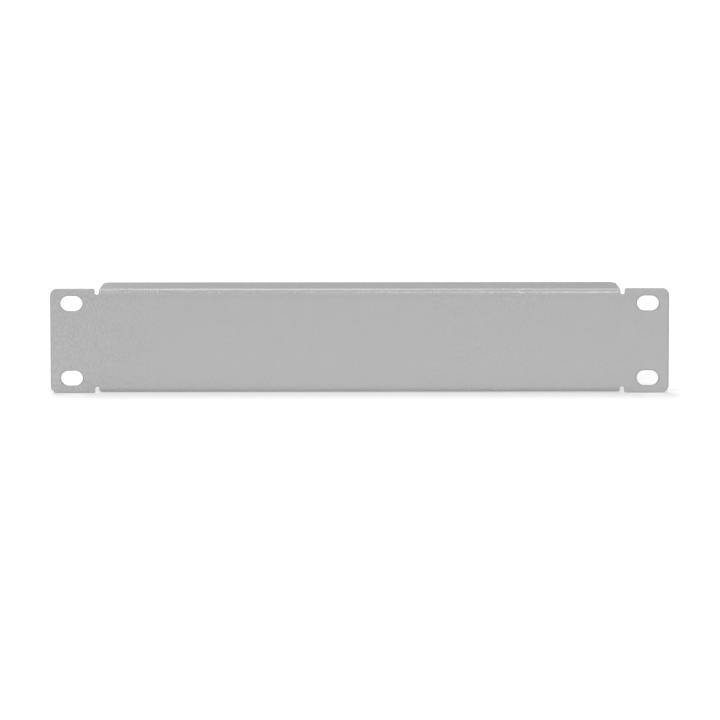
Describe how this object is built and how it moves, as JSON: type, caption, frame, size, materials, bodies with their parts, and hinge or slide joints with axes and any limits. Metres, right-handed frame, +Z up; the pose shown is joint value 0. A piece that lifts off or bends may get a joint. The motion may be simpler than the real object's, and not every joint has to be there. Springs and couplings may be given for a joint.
{
  "type": "rack blanking panel",
  "caption": "Folded sheet-steel panel that closes an empty space in a small equipment rack, with slotted screw ears, relief cuts and shallow stiffening flanges.",
  "frame": {"origin": "middle of the four screw slots, on the rear face of the ears, which seats on the rack's posts", "axes": "+X across the panel to the right seen from the front, +Y backwards into the rack, the way the screws go in, +Z up"},
  "size_m": [0.254, 0.012, 0.0442],
  "materials": {
    "powder_coat": "light grey fine-textured powder coat, satin, over steel sheet"
  },
  "bodies": {
    "root": {"blanking_panel": "powder_coat"}
  },
  "joints": []
}
